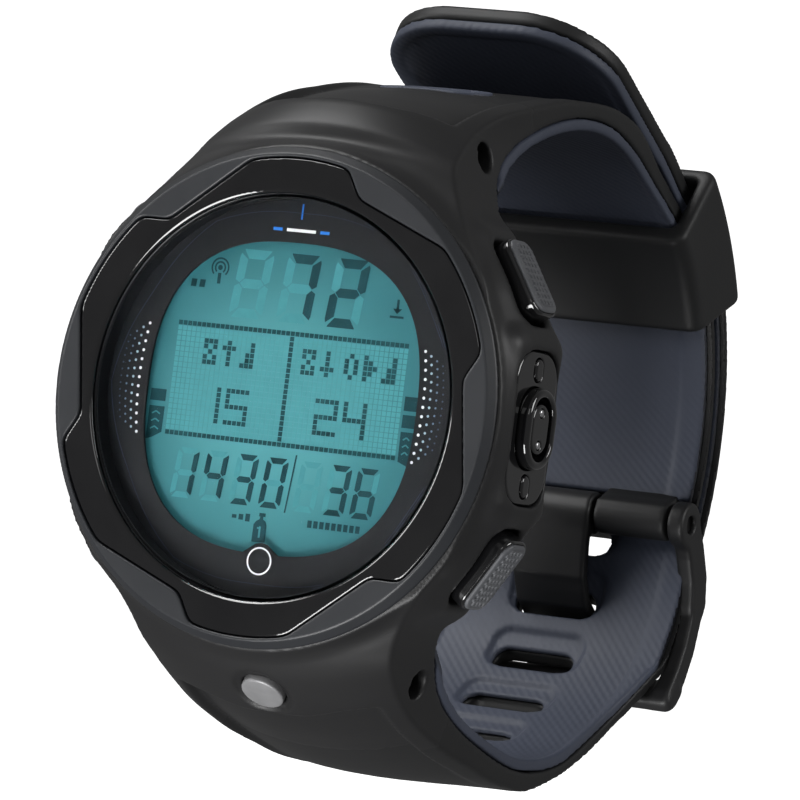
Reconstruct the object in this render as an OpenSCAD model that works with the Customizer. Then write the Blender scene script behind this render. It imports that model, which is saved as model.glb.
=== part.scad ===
// Wrist dive computer on a two-layer strap, closed with a pin buckle.
// Millimetres. The row frame has +X at 3 o'clock, +Z at 12 o'clock and the face looking along -Y.
// Its origin is the middle of the strap loop, where the wrist goes.
// Modules are written in the watch frame (x at 3 o'clock, y at 12 o'clock, z out of the face,
// z = 0 at the seam between bezel and case), and place() turns it into the row frame.

/* [Case] */
// Radius of the seam between bezel and case
seam_r = 24.3; // [24:0.1:24.6]
// Radius of the case drum
case_r = 24.55; // [24.5:0.05:24.7]
// Depth from the seam to the back face
case_depth = 17; // [17:0.1:17.4]
// Radius of the sealed space for the electronics
cavity_r = 18.4; // [18.2:0.1:18.5]
// Radius of the lens
lens_r = 19.4; // [19.2:0.1:19.45]
// Height of the bezel above the seam
bezel_h = 1.25; // [1.1:0.05:1.4]

/* [Strap] */
// Width of the strap
strap_w = 26; // [25.6:0.1:26]
// Thickness of the soft inner layer
soft_t = 1.25; // [1.1:0.05:1.3]
// Radius of the short strap's inner face behind the wrist
loop_r = 27.7; // [27.6:0.05:27.75]
// Thickness of the two layers together
strap_t = 3.0; // [2.9:0.05:3.0]
// Gap between the overlapped straps
overlap_gap = 0.3; // [0.3:0.05:0.4]
// Angle between neighbouring buckle slots
slot_pitch = 12.2; // [11.8:0.1:12.6]

/* [Buttons] */
// Angle of the buttons above and below 3 and 9 o'clock
button_angle = 33; // [32:0.5:34]
// Travel of a button
button_travel = 1.0; // [0.6:0.1:1.0]
// Length of a button pad along the case edge
pad_l = 7.8; // [7:0.1:8]
// Height of a button pad
pad_h = 4.2; // [3.8:0.1:4.4]

/* [Hidden] */
$fn = 96;

black = "#1b1c1e";
gloss = "#0b0c0d";
slate = "#3c4252";
grey = "#77797c";
steel = "#a9abad";

wrist_z = -41;              // middle of the strap loop
loop_y = 2.5;               // centre of the arc that the straps follow behind the wrist
loop_z = -38.3;
back_z = -case_depth;
seat_z = -1.9;              // ledge under the lens gasket
floor_z = -11.7;            // floor of the electronics space
long_r = loop_r + strap_t + overlap_gap;
buckle_swell = 3.95;        // the long strap moves out by this where it passes the crossbar
arc_end = 62;               // the long strap's tail leaves the arc here and runs straight
arc_low = -22;
tail_l = 22;

// Strap pins in the lugs
pin_y = 25.6;
pin_z = -11.3;
pin_r = 0.9;
knuckle_r = 2.65;
knuckle_w = 18.8;
ear_gap = 0.1;
lug_cut = 120;              // angle at which the lug ears end and the strap takes over

// Buckle
buckle_y = -6.5;
buckle_z = -64.5;
buckle_a = -19;
bar_a = -43.5;              // crossbar of the frame
bar_r = 39.15;
bar_t = 1.8;
arm_in = strap_w / 2 + 0.35;
arm_out = strap_w / 2 + 2.3;
tang_w = 8.4;
tang_t = 1.4;
bush_r = 0.95;              // bores that turn on the buckle pin

// Keeper, as angles on the strap arc
keeper_from = 25;
keeper_to = 51.3;

// Pressure sensor in the case wall, beside the battery hatch
sensor_x = 9.5;
sensor_y = -17.6;
sensor_r = 1.15;

// Buttons
button_z = -7.5;
pad_face_r = 27;
pad_t = 0.9;
stem_head_t = 1.9;
pocket_floor_r = 23;
spring_seat_r = 21.2;
bore_r = 1.3;
clip_x = 17.9;

// Port at 3 o'clock
port_z = -7.2;
port_face = 24.1;
port_seat = 23.1;           // floor of the pocket that holds the port

function pol(r, a) = [loop_y + r * sin(a), loop_z - r * cos(a)];
function clamp01(t) = max(0, min(1, t));
function ease(a, a0, a1, v) = let (t = clamp01((a - a0) / (a1 - a0))) v * t * t * (3 - 2 * t);
function swell(a, a0, a1, v) = let (t = clamp01((a - a0) / (a1 - a0))) v * t * t;
// Radii of the strap faces about the arc's centre, at an angle from straight behind the wrist
function short_out(a) = loop_r + strap_t + ease(a, 60, 90, 1.0) + swell(a, 95, 135, 5.5);
function short_mid(a) = loop_r + soft_t + ease(a, 60, 88, 1.15) + swell(a, 118, 134, 1.7);
function long_in(a) = long_r + ease(-a, -arc_low, 46, buckle_swell);
function long_mid(a) = long_in(a) + soft_t;
function long_out(a) = long_in(a) + strap_t + swell(-a, 100, 134, 4.8);
// Centreline of a buckle arm
function arm_r(a) = let (t = clamp01((buckle_a - a) / (buckle_a - bar_a)))
    loop_r + (bar_r - loop_r) * (1 - pow(1 - t, 1.5));

module place() {
    rotate([90, 0, 0]) translate([0, 0, -wrist_z]) children();
}

// Extrudes a (y, z) outline across the strap, centred on x = 0
module across(w) {
    rotate([90, 0, 90]) translate([0, 0, -w / 2]) linear_extrude(w) children();
}

// The same on both sides, from |x| = x0 to x1
module both_sides(x0, x1) {
    for (s = [-1, 1]) translate([s * (x0 + x1) / 2, 0, 0]) across(x1 - x0) children();
}

// Ring sector about the strap arc's axis, from angle a0 to a1 and radius r0 to r1
module arc_band(r0, r1, a0, a1, w) {
    translate([0, loop_y, loop_z]) rotate([90, 0, 90]) rotate([0, 0, a0 - 90])
        rotate_extrude(angle = a1 - a0) translate([r0, -w / 2]) square([r1 - r0, w]);
}

module band_shape(inner, outer) {
    polygon(concat(inner, [for (i = [len(outer) - 1:-1:0]) outer[i]]));
}

module rod_x(y, z, r, x0, x1) {
    translate([x0, y, z]) rotate([0, 90, 0]) cylinder(r = r, h = x1 - x0);
}

module tube_z(r0, r1, z0, z1) {
    translate([0, 0, z0]) difference() {
        cylinder(r = r1, h = z1 - z0);
        translate([0, 0, -1]) cylinder(r = r0, h = z1 - z0 + 2);
    }
}

module disc_z(r, z0, z1) {
    translate([0, 0, z0]) cylinder(r = r, h = z1 - z0);
}

module rounded_rect(l, h, r) {
    square([l - 2 * r, h], center = true);
    square([l, h - 2 * r], center = true);
    for (x = [-1, 1], y = [-1, 1]) translate([x * (l / 2 - r), y * (h / 2 - r)]) circle(r);
}

// Plate in the (y, z) plane at 3 o'clock, from x0 to x1
module port_slab(l, h, r, x0, x1) {
    translate([x0, 0, port_z]) rotate([90, 0, 90]) linear_extrude(x1 - x0) rounded_rect(l, h, r);
}

// Puts a button part, drawn along +x from the watch axis, at its place
module at_button(side_x, side_y) {
    turn = side_x > 0 ? side_y * button_angle : 180 - side_y * button_angle;
    rotate([0, 0, turn]) translate([0, 0, button_z]) children();
}

module rod_out(r, x0, x1) {
    translate([x0, 0, 0]) rotate([0, 90, 0]) cylinder(r = r, h = x1 - x0);
}

module block_out(l, h, r, x0, x1) {
    translate([x0, 0, 0]) rotate([90, 0, 90]) linear_extrude(x1 - x0) rounded_rect(l, h, r);
}

// ---- Case ----

module drum() {
    rotate_extrude() polygon([
        [0, back_z], [20.8, back_z], [23.2, -14.2], [24.2, -11], [case_r, -6.5], [case_r, -1.2],
        [seam_r + 0.15, 0], [0, 0]
    ]);
}

// Plan outline of the shoulders: a triangle from the drum towards the lug
module shoulder() {
    translate([0, 0, -13]) linear_extrude(9) polygon([
        [-21.4, 12.4], [21.4, 12.4], [strap_w / 2, 27.4], [-strap_w / 2, 27.4]
    ]);
}

module hood() {
    across(strap_w) polygon([
        [17, -0.6], [24.2, -0.6], [25.2, -2.2], [27.3, -2.2], [29.3, -4], [30.8, -7.2],
        [31.2, -9.2], [25.6, -11.3], [17, -14]
    ]);
}

// Lug ears: the side faces round the strap pins, down to where the strap takes over
module ears() {
    out_angles = [lug_cut:3:135];
    mid_angles = [138:-3:lug_cut];
    both_sides(knuckle_w / 2, strap_w / 2) union() {
        polygon(concat([for (a = out_angles) pol(short_out(a), a)],
            [[25.7, -7.7], [23.7, -6.3], [21.7, -6.4], [19, -8], [17, -12], [18.5, -15.4], [21, -15.8]],
            [for (a = mid_angles) pol(short_mid(a), a)]));
        polygon(concat([for (a = out_angles) pol(long_out(-a), -a)],
            [[-25.7, -7.7], [-23.7, -6.3], [-21.7, -6.4], [-19, -8], [-17, -11], [-19, -13]],
            [for (a = mid_angles) pol(long_mid(-a), -a)]));
    }
}

module strap_pocket() {
    w = knuckle_w + 2 * ear_gap;
    rod_x(pin_y, pin_z, knuckle_r + 0.15, -w / 2, w / 2);
    across(w) polygon([[24, -8], [29.2, -8.2], [31.6, -9.3], [40, -12], [40, -30], [22, -30], [22.2, -11]]);
}

module button_cut(side_x, side_y) {
    at_button(side_x, side_y) {
        rod_out(bore_r, 15, 24);
        rod_out(2.1, spring_seat_r, 24);
        block_out(pad_l + 1.1, pad_h + 1.3, 1.5, pocket_floor_r, 30);
    }
}

module button_boss(side_x, side_y) {
    at_button(side_x, side_y) block_out(12.2, 8.4, 2.6, 20, 25.5);
}

module case_body() {
    color(black) place() difference() {
        union() {
            drum();
            for (s = [0, 1]) mirror([0, s, 0]) {
                shoulder();
                hood();
            }
            ears();
            port_slab(17, 11, 3, 20, port_face + 0.1);
            for (sx = [-1, 1], sy = [-1, 1]) button_boss(sx, sy);
        }
        // Lens seat, electronics space and battery space
        disc_z(lens_r + 0.05, -1.5, 1);
        disc_z(lens_r + 0.05, seat_z, -1.4);
        disc_z(cavity_r, floor_z, 0);
        disc_z(12.6, back_z - 1, -12.3);
        tube_z(13, 14.1, -15.3, -14.35);
        disc_z(17.3, back_z - 1, -15.2);
        disc_z(18.3, -16.3, -15.2);
        // Entry notches for the locking ring's three tabs
        for (a = [0:120:240]) rotate([0, 0, a - 51]) rotate_extrude(angle = 34)
            translate([17, back_z - 1]) square([1.25, 2.2]);
        for (s = [0, 1]) mirror([0, s, 0]) {
            strap_pocket();
            rod_x(pin_y, pin_z, pin_r + 0.03, -12.4, 12.4);
            for (t = [0, 1]) mirror([t, 0, 0]) rod_x(pin_y, pin_z, 1.45, 11.6, 14);
        }
        for (sx = [-1, 1], sy = [-1, 1]) button_cut(sx, sy);
        // Port pocket and lead hole
        port_slab(15, 8.8, 3.2, port_seat, 30);
        translate([0, 0, port_z]) rod_out(1.2, 17, 25);
        // Water contact and pressure sensor
        contact_hole(2.2, -3.2, 4);
        at_sensor() disc_z(sensor_r + 0.03, back_z - 1, -10.9);
        at_sensor() rotate([0, 0, 118.4]) rod_out(0.5, 0, 2.5);
    }
}

module bezel_outline() {
    // Six runs: an arc just inside the rim, a chord inwards, then a short step out again
    rim = 23.1;
    low = 20.9;
    polygon([for (k = [0:5], i = [0:6]) let (
        a = 60 * k + (i < 5 ? 16 + i * 6.6 : (i == 5 ? 69 : 72)),
        r = i < 5 ? rim : low
    ) [r * cos(a), r * sin(a)]]);
}

module bezel_ring() {
    color("#2b2c2f") place() difference() {
        rotate_extrude() polygon([
            [lens_r + 0.2, 0], [seam_r - 0.05, 0], [seam_r - 0.05, 0.25], [23.4, bezel_h],
            [lens_r + 0.2, bezel_h]
        ]);
        translate([0, 0, 0.35]) linear_extrude(3) bezel_outline();
    }
}

module bezel_trim() {
    color(gloss) place() difference() {
        translate([0, 0, 0.35]) linear_extrude(bezel_h - 0.5) bezel_outline();
        disc_z(lens_r + 0.2, -1, 3);
    }
}

module lens() {
    color([0.55, 0.65, 0.68, 0.3]) place() rotate_extrude()
        polygon([[0, -1.5], [lens_r, -1.5], [lens_r, 0.5], [lens_r - 0.25, 0.75], [0, 0.75]]);
}

module lens_gasket() {
    color("#202020") place() tube_z(cavity_r, lens_r, seat_z, -1.5);
}

// ---- Display and electronics ----

// Barrel-shaped window: between a circle and a square
module window_shape() {
    half = 15.2;
    fullness = 2.6;
    polygon([for (a = [0:4:356]) let (
        r = half / pow(pow(abs(cos(a)), fullness) + pow(abs(sin(a)), fullness), 1 / fullness)
    ) r * [cos(a), sin(a)]]);
}

module display_mask() {
    color("#2c3036") place() translate([0, 0, -2.3]) linear_extrude(0.35) difference() {
        circle(cavity_r - 0.2);
        window_shape();
    }
}

module lcd_panel() {
    color("#5fa9ad") place() disc_z(17.4, -4.3, -2.35);
}

module backlight_panel() {
    color("#d8e6e4") place() disc_z(17.2, -5.2, -4.35);
}

module module_frame() {
    color("#e3e3de") place() difference() {
        union() {
            disc_z(18.2, -5.6, -2.35);
            disc_z(16.3, floor_z + 0.1, -5.6);
        }
        disc_z(17.5, -5.25, 0);
        disc_z(15.3, -10.6, -5.5);
        disc_z(13, floor_z - 1, -5.5);
    }
}

module circuit_board() {
    color("#1f5a3c") place() difference() {
        disc_z(15.2, -8.1, -7.1);
        for (s = [-1, 1]) translate([s * 11, 6, -9]) cylinder(r = 0.8, h = 3);
    }
}

module buzzer() {
    color("#c9a24a") place() translate([-5, 5, 0]) disc_z(6, -9.6, -8.15);
}

module antenna_coil() {
    color("#b06a34") place() translate([6, 5.5, -9.7]) difference() {
        cylinder(r = 4.2, h = 1.5);
        translate([0, 0, -1]) cylinder(r = 2.2, h = 4);
    }
}

module at_sensor() {
    translate([sensor_x, sensor_y, 0]) children();
}

module pressure_sensor() {
    color(steel) place() at_sensor() disc_z(sensor_r, -14.6, -12.2);
}

module sensor_cover() {
    color(grey) place() at_sensor() difference() {
        disc_z(sensor_r, -16.9, -16.1);
        for (i = [0:3]) rotate([0, 0, 90 * i]) translate([0.6, 0, -18])
            cylinder(r = 0.2, h = 3, $fn = 24);
    }
}

module battery() {
    color(steel) place() union() {
        disc_z(12.25, -15.1, -12.7);
        disc_z(11.3, -12.7, -12.45);
    }
}

module battery_spring_contact() {
    color("#c8b070") place() difference() {
        disc_z(3, -12.43, -12.33);
        disc_z(1, -13, -12);
    }
}

module battery_side_contact() {
    color("#c8b070") place() rotate([0, 0, 200]) rotate_extrude(angle = 40)
        translate([12.28, -15]) square([0.25, 2.4]);
}

module battery_hatch() {
    color(black) place() difference() {
        union() {
            disc_z(14.5, -16.2, -15.25);
            disc_z(12.5, back_z, -16.2);
        }
        translate([-6, -0.9, back_z - 1]) cube([12, 1.8, 1.5]);
    }
}

module hatch_o_ring() {
    color("#8a3a2c") place() translate([0, 0, -14.8])
        rotate_extrude() translate([13.55, 0]) circle(0.44, $fn = 32);
}

module hatch_ring() {
    color(black) place() difference() {
        union() {
            tube_z(12.65, 17.15, back_z, -16.35);
            tube_z(14.7, 17.15, -16.35, -15.35);
            for (a = [0:120:240]) rotate([0, 0, a]) rotate_extrude(angle = 30)
                translate([17, -16.2]) square([1.15, 0.8]);
        }
        for (a = [60:120:300]) rotate([0, 0, a]) translate([15, 0, back_z - 1])
            cylinder(r = 0.9, h = 1.5);
    }
}

module contact_hole(r, depth, out) {
    translate([0, -28.4, -5]) rotate([52, 0, 0]) translate([0, 0, depth])
        cylinder(r = r, h = out - depth);
}

module water_contact() {
    color(grey) place() union() {
        contact_hole(1.95, -1.2, 0.4);
        contact_hole(1.0, -3, -1.2);
    }
}

// ---- Data port ----

module port_plate() {
    color(gloss) place() difference() {
        port_slab(14.8, 8.6, 3.1, port_seat + 0.05, port_face + 0.2);
        port_slab(7.8, 5.7, 2.8, 20, 30);
        for (s = [-1, 1]) translate([0, s * 5.7, port_z]) rod_out(0.75, 20, 30);
    }
}

module port_ring() {
    color(gloss) place() difference() {
        port_slab(7.7, 5.6, 2.75, port_seat + 0.05, port_face + 1.5);
        port_slab(5.7, 3.9, 1.9, 24.6, 30);
        port_slab(4.6, 3.0, 1.45, 20, 30);
    }
}

module port_insulator() {
    color("#232427") place() difference() {
        port_slab(4.5, 2.9, 1.4, port_seat + 0.05, port_face + 1.2);
        for (s = [-1, 1]) translate([0, s * 1.55, port_z]) rod_out(0.45, 20, 30);
    }
}

module port_contacts() {
    color(steel) place() for (s = [-1, 1])
        translate([0, s * 1.55, port_z]) rod_out(0.42, port_seat + 0.05, port_face + 1.35);
}

module port_studs() {
    color("#17181a") place() for (s = [-1, 1])
        translate([0, s * 5.7, port_z]) rod_out(0.72, port_seat + 0.05, port_face + 0.45);
}

// ---- Strap ----

module strap_pin(s) {
    color(steel) place() rod_x(s * pin_y, pin_z, pin_r, -12.3, 12.3);
}

// Outline between two face functions' points, tapering to the lug in the raised middle
function short_line(inner, a0, a1, step) =
    [for (a = [a0:step:a1]) pol(inner ? short_mid(a) : short_out(a), a)];

module strap_short_outer() {
    lug = [for (a = [114:4:134]) pol(short_mid(a) + 0.05, a)];
    color(black) place() difference() {
        union() {
            across(strap_w) band_shape(
                short_line(true, -12, lug_cut, 4), short_line(false, -12, lug_cut, 4));
            // Raised middle of the strap, and the end that goes into the lug
            across(knuckle_w) polygon(concat(lug, [
                [24, -14.5], [pin_y, pin_z], [29, -9.5], [31.4, -9.5], [32.5, -14], [33.3, -19],
                [33.9, -25], [34.3, -31], pol(short_out(100) - 1, 100), pol(short_mid(106) + 1, 106)
            ]));
            rod_x(pin_y, pin_z, knuckle_r, -knuckle_w / 2, knuckle_w / 2);
            // Fingers round the buckle pin
            for (s = [0, 1]) mirror([s, 0, 0]) {
                rod_x(buckle_y, buckle_z, 2, tang_w / 2 + 0.4, strap_w / 2 - 0.02);
                translate([(tang_w + strap_w) / 4 + 0.2, 0, 0])
                    across((strap_w - tang_w) / 2 - 0.5) polygon([
                        pol(loop_r + soft_t + 0.1, -11), pol(loop_r + strap_t - 0.1, -11),
                        pol(29.6, -17), [buckle_y, buckle_z], pol(25.9, -17), pol(27.4, -13.4),
                        pol(loop_r + soft_t + 0.1, -12.5)
                    ]);
            }
        }
        rod_x(pin_y, pin_z, pin_r + 0.03, -20, 20);
        rod_x(buckle_y, buckle_z, bush_r, -20, 20);
        inlay_shape(-1);
    }
}

module strap_short_inner() {
    color(slate) place() difference() {
        across(strap_w) band_shape(
            [for (a = [-12:4:136]) pol(short_mid(a) - soft_t, a)],
            [for (a = [-12:4:136]) pol(short_mid(a), a)]);
        disc_z(case_r + 0.1, -20, 0);
    }
}

// Oval badge plate let into the short strap, 0.2 mm proud
module inlay_shape(extra) {
    translate([0, 33.5, -25]) rotate([-82.4, 0, 0]) translate([0, 0, -0.6 + min(0, extra)])
        linear_extrude(0.8 - min(0, extra) + (extra < 0 ? 1 : 0)) rounded_rect(12, 6.4, 3.15);
}

module strap_inlay() {
    color(slate) place() difference() {
        translate([0, 33.5, -25]) rotate([-82.4, 0, 0]) translate([0, 0, -1.4])
            linear_extrude(1.7) rounded_rect(11.9, 6.3, 3.1);
        translate([0, 33.5, -25]) rotate([-82.4, 0, 0]) translate([0, 0, 0.1])
            linear_extrude(1) difference() {
                rounded_rect(8.8, 3.4, 1.6);
                rounded_rect(7.6, 2.2, 1.0);
            }
    }
}

// One rounded slot through the long strap, at an angle on the loop
module buckle_slot(a) {
    r = long_mid(a);
    translate([0, loop_y + r * sin(a), loop_z - r * cos(a)]) rotate([a, 0, 0])
        translate([0, 0, -8]) linear_extrude(16) rounded_rect(9.2, 3.0, 1.45);
}

module all_slots() {
    for (i = [-3:5]) buckle_slot(-34.4 + i * slot_pitch);
}

// Point on the straight tail, at a radius of the loop and a length beyond the arc
function tail_point(r, l) = pol(r, arc_end) + l * [cos(arc_end), sin(arc_end)];

// Rounds the tail's two corners off
module tip_cut() {
    tip_r = 9;
    start = pol(long_r, arc_end);
    translate([0, start[0], start[1]]) rotate([arc_end, 0, 0])
        for (s = [0, 1]) mirror([s, 0, 0]) translate([strap_w / 2 - tip_r, tail_l - tip_r, -10])
            linear_extrude(20) difference() {
                square([tip_r + 1, tip_r + 1]);
                circle(tip_r);
            }
}

module strap_long_outer() {
    angles = [-120:4:arc_end - 2];
    color(black) place() difference() {
        union() {
            across(strap_w) band_shape(
                concat([for (a = angles) pol(long_mid(a), a)],
                    [tail_point(long_r + soft_t, 0), tail_point(long_r + soft_t, tail_l)]),
                concat([for (a = angles) pol(long_out(a), a)],
                    [tail_point(long_r + strap_t, 0), tail_point(long_r + strap_t, tail_l)]));
            across(knuckle_w) polygon(concat([for (a = [-134:4:-114]) pol(long_mid(a) + 0.05, a)], [
                pol(long_mid(-100) + 1, -100), pol(long_out(-95) - 1, -95), [-35.4, -33], [-35.4, -14],
                [-33.4, -9.5], [-29, -9.5], [-pin_y, pin_z], [-24, -13.5]
            ]));
            rod_x(-pin_y, pin_z, knuckle_r, -knuckle_w / 2, knuckle_w / 2);
        }
        rod_x(-pin_y, pin_z, pin_r + 0.03, -20, 20);
        all_slots();
        tip_cut();
    }
}

module strap_long_inner() {
    angles = [-132:4:arc_end - 2];
    color(slate) place() difference() {
        across(strap_w) band_shape(
            concat([for (a = angles) pol(long_in(a), a)],
                [tail_point(long_r, 0), tail_point(long_r, tail_l)]),
            concat([for (a = angles) pol(long_mid(a), a)],
                [tail_point(long_r + soft_t, 0), tail_point(long_r + soft_t, tail_l)]));
        disc_z(case_r + 0.1, -20, 0);
        all_slots();
        tip_cut();
    }
}

module keeper() {
    color(black) place() difference() {
        arc_band(25.2, 36, keeper_from, keeper_to, strap_w + 4);
        arc_band(loop_r - 0.35, long_r + strap_t + 0.4, keeper_from - 5, keeper_to + 5, strap_w + 0.7);
    }
}

// ---- Buckle ----

module buckle_frame() {
    arm = [for (i = [0:10]) buckle_a + (bar_a - buckle_a) * i / 10];
    color(black) place() difference() {
        union() {
            both_sides(arm_in, arm_out) band_shape(
                [for (a = arm) pol(arm_r(a) - 2.1 + 0.9 * clamp01((buckle_a - a) / 20), a)],
                [for (a = arm) pol(arm_r(a) + 2.1 - 0.9 * clamp01((buckle_a - a) / 20), a)]);
            for (s = [0, 1]) mirror([s, 0, 0]) rod_x(buckle_y, buckle_z, 2.4, arm_in, arm_out);
            translate([0, loop_y, loop_z]) rotate([bar_a, 0, 0])
                translate([-arm_out, -1.8, -bar_r - bar_t / 2]) cube([2 * arm_out, 3.6, bar_t]);
        }
        rod_x(buckle_y, buckle_z, bush_r, -20, 20);
    }
}

module buckle_pin() {
    color(steel) place() rod_x(buckle_y, buckle_z, pin_r, -arm_out + 0.5, arm_out - 0.5);
}

module buckle_tang() {
    // Both faces of the bent plate, from the curl round the pin to the tip on the crossbar
    inner = [
        [-6.5, -62.2], [-13.4, -62.9], [-16.6, -64.8], [-19.2, -68.6], [-21.2, -69.8], [-26, -67.5]
    ];
    outer = [
        [-6.5, -63.6], [-13, -64.3], [-15.5, -65.7], [-18.2, -69.8], [-21.1, -71.2], [-26.8, -68.8]
    ];
    color("#232427") place() difference() {
        union() {
            across(tang_w) band_shape(inner, outer);
            rod_x(buckle_y, buckle_z, bush_r + tang_t, -tang_w / 2, tang_w / 2);
        }
        rod_x(buckle_y, buckle_z, bush_r, -20, 20);
    }
}

// ---- Buttons ----

module button_pad(sx, sy) {
    color(grey) place() at_button(sx, sy)
        block_out(pad_l, pad_h, 1.3, pad_face_r - pad_t, pad_face_r);
}

module button_stem(sx, sy) {
    head = pad_face_r - pad_t;
    color(gloss) place() at_button(sx, sy) difference() {
        union() {
            block_out(pad_l + 0.5, pad_h + 0.7, 1.5, head - stem_head_t, head);
            rod_out(0.9, clip_x - 0.2, head - 1);
        }
        difference() {
            rod_out(2, 19.4, 20);
            rod_out(0.75, 19, 21);
        }
    }
}

module button_seal(sx, sy) {
    color("#8a3a2c") place() at_button(sx, sy) translate([19.7, 0, 0]) rotate([0, 90, 0])
        rotate_extrude() translate([1.02, 0]) circle(0.26, $fn = 24);
}

module button_clip(sx, sy) {
    color(steel) place() at_button(sx, sy) difference() {
        rod_out(1.7, clip_x, clip_x + 0.3);
        rod_out(0.9, clip_x - 1, clip_x + 1);
        translate([clip_x - 1, -0.7, 0]) cube([3, 1.4, 3]);
    }
}

// Coil spring round the stem, swept along a helix
module button_spring(sx, sy) {
    wire = 0.2;
    coil = 1.6;
    turns = 4;
    steps = 14 * turns;
    sides = 6;
    x0 = spring_seat_r + wire + 0.02;
    x1 = pad_face_r - pad_t - stem_head_t - wire - 0.02;
    pts = [for (i = [0:steps], j = [0:sides - 1]) let (
        t = 360 * turns * i / steps,
        c = coil + wire * cos(360 * j / sides)
    ) [x0 + (x1 - x0) * i / steps + wire * sin(360 * j / sides), c * cos(t), c * sin(t)]];
    walls = [for (i = [0:steps - 1], j = [0:sides - 1]) let (
        a = i * sides + j,
        b = i * sides + (j + 1) % sides
    ) [a, b, b + sides, a + sides]];
    color(steel) place() at_button(sx, sy) polyhedron(pts, concat(walls,
        [[for (j = [sides - 1:-1:0]) j]],
        [[for (j = [0:sides - 1]) steps * sides + j]]));
}

case_body();
bezel_ring();
bezel_trim();
lens();
lens_gasket();
display_mask();
lcd_panel();
backlight_panel();
module_frame();
circuit_board();
buzzer();
antenna_coil();
pressure_sensor();
sensor_cover();
battery();
battery_spring_contact();
battery_side_contact();
battery_hatch();
hatch_o_ring();
hatch_ring();
water_contact();
port_plate();
port_ring();
port_insulator();
port_contacts();
port_studs();
strap_pin(1);  // strap_pin_upper
strap_pin(-1);  // strap_pin_lower
strap_short_outer();
strap_short_inner();
strap_inlay();
strap_long_outer();
strap_long_inner();
keeper();
buckle_frame();
buckle_pin();
buckle_tang();
button_pad(1, 1);  // button_pad_upper_right
button_stem(1, 1);  // button_stem_upper_right
button_seal(1, 1);  // button_seal_upper_right
button_clip(1, 1);  // button_clip_upper_right
button_spring(1, 1);  // button_spring_upper_right
button_pad(1, -1);  // button_pad_lower_right
button_stem(1, -1);  // button_stem_lower_right
button_seal(1, -1);  // button_seal_lower_right
button_clip(1, -1);  // button_clip_lower_right
button_spring(1, -1);  // button_spring_lower_right
button_pad(-1, 1);  // button_pad_upper_left
button_stem(-1, 1);  // button_stem_upper_left
button_seal(-1, 1);  // button_seal_upper_left
button_clip(-1, 1);  // button_clip_upper_left
button_spring(-1, 1);  // button_spring_upper_left
button_pad(-1, -1);  // button_pad_lower_left
button_stem(-1, -1);  // button_stem_lower_left
button_seal(-1, -1);  // button_seal_lower_left
button_clip(-1, -1);  // button_clip_lower_left
button_spring(-1, -1);  // button_spring_lower_left
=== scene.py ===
from functools import reduce
from math import atan2, cos, degrees, hypot, pi, radians, sin, sqrt

import bpy
import numpy as np
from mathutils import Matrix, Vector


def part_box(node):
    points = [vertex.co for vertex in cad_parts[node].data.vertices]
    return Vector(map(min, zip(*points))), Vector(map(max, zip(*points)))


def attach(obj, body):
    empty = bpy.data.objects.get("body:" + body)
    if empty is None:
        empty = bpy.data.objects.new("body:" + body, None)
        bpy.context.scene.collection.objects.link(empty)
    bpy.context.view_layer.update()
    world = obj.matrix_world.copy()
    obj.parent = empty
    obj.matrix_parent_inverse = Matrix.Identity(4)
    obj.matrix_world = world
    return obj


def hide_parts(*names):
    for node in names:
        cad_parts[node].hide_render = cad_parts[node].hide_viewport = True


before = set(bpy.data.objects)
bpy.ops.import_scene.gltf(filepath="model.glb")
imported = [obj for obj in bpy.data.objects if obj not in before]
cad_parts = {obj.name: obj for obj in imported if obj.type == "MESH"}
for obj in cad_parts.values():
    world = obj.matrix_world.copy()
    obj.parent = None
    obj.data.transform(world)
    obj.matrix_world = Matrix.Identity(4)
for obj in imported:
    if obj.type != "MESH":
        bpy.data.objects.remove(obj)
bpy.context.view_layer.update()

import openvdb
from mathutils import Matrix, Vector

# Most shapes here are worked out in the watch frame, in millimetres: x at 3 o'clock, y at
# 12 o'clock, z out of the face, with z = 0 at the seam between bezel and case.
LENS_TOP = 0.75
LOOP_DEPTH = -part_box("lens")[0].y * 1000 - LENS_TOP  # from the seam to the middle of the wrist
LOOP_Y = 2.5             # centre of the arc that the straps follow
LOOP_Z = -38.3


def cos_sin(angle):
    return cos(radians(angle)), sin(radians(angle))


def put(name, data):
    """An object in the scene."""
    thing = bpy.data.objects.new(name, data)
    bpy.context.scene.collection.objects.link(thing)
    return thing


def row(points):
    """Points in the watch frame, in millimetres, as points in the row frame, in metres."""
    p = np.asarray(points, float).reshape(-1, 3)
    return np.stack([p[:, 0], -p[:, 2] - LOOP_DEPTH, p[:, 1]], 1) * 0.001


# ------------ materials

def material(name, colour, roughness, metal=0.0, specular=0.5, coat=0.0):
    """A principled material, its node tree and its shader node."""
    m = bpy.data.materials.new(name)
    m.use_nodes = True
    shader = m.node_tree.nodes["Principled BSDF"]
    values = {"Base Color": (*colour, 1), "Roughness": roughness, "Metallic": metal,
              "Specular IOR Level": specular, "Coat Weight": coat}
    for socket, value in values.items():
        shader.inputs[socket].default_value = value
    return m, m.node_tree, shader


def add(tree, kind, **values):
    """Adds a shader node and sets its attributes or its inputs by name."""
    node = tree.nodes.new("ShaderNode" + kind)
    for key, value in values.items():
        if hasattr(node, key):
            setattr(node, key, value)
        else:
            node.inputs[key.replace("_", " ")].default_value = value
    return node


def wire(source, output, target, socket):
    source.id_data.links.new(source.outputs[output], target.inputs[socket])


def noise(tree, scale, detail, **values):
    """Noise laid out by the object's own coordinates."""
    node = add(tree, "TexNoise", Scale=scale, Detail=detail, **values)
    wire(add(tree, "TexCoord"), "Object", node, "Vector")
    return node


def ramp(tree, first, second, low=0.0, high=1.0):
    node = add(tree, "ValToRGB")
    for stop, place, colour in zip(node.color_ramp.elements, (low, high), (first, second)):
        stop.position = place
        stop.color = (*colour, 1)
    return node


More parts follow.
